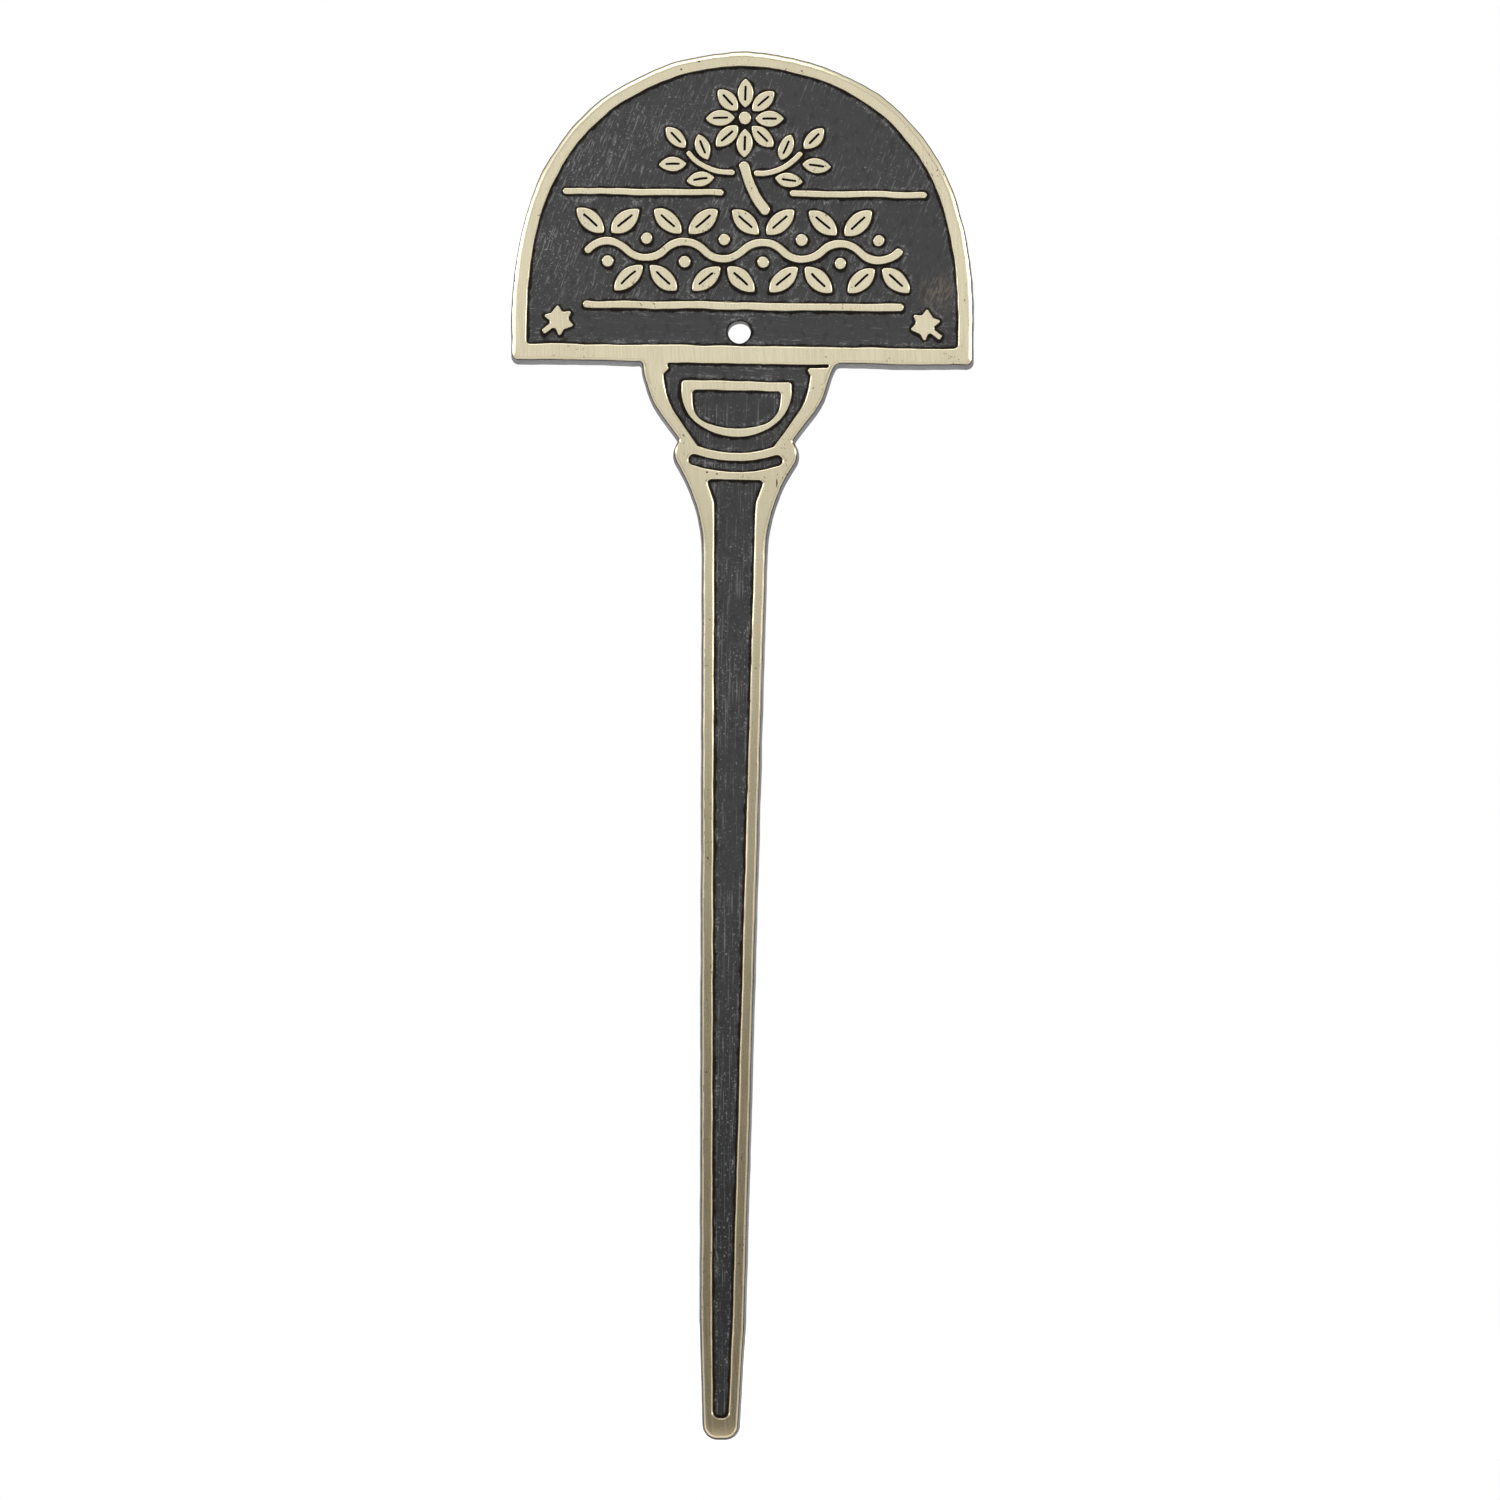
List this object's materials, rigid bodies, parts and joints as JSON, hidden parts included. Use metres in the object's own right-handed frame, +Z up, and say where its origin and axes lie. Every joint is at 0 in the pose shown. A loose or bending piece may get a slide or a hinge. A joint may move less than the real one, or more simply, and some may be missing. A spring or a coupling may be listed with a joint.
{
  "type": "plant label stake",
  "caption": "Cast brass plant label on a long grooved stake: arched head with raised ornament on a dark painted field, a ringed bowl and collar below it, and a screw hole.",
  "frame": {"origin": "on the stake's axis at the lowest point of its tip, halfway through the thickness", "axes": "+Z up the stake to the head, -Y out of the labelled front, +X to the right seen from the front"},
  "size_m": [0.0836, 0.0046, 0.25],
  "materials": {
    "brass": "satin, linished by hand on the raised faces",
    "dark_paint": "semi-matt charcoal paint, wiped thin"
  },
  "bodies": {
    "root": {"brass_casting": "brass", "label_field_paint": "dark_paint", "bowl_paint": "dark_paint", "cup_paint": "dark_paint", "collar_paint": "dark_paint", "stake_channel_paint": "dark_paint", "edge_and_back_paint": "dark_paint"}
  },
  "joints": []
}
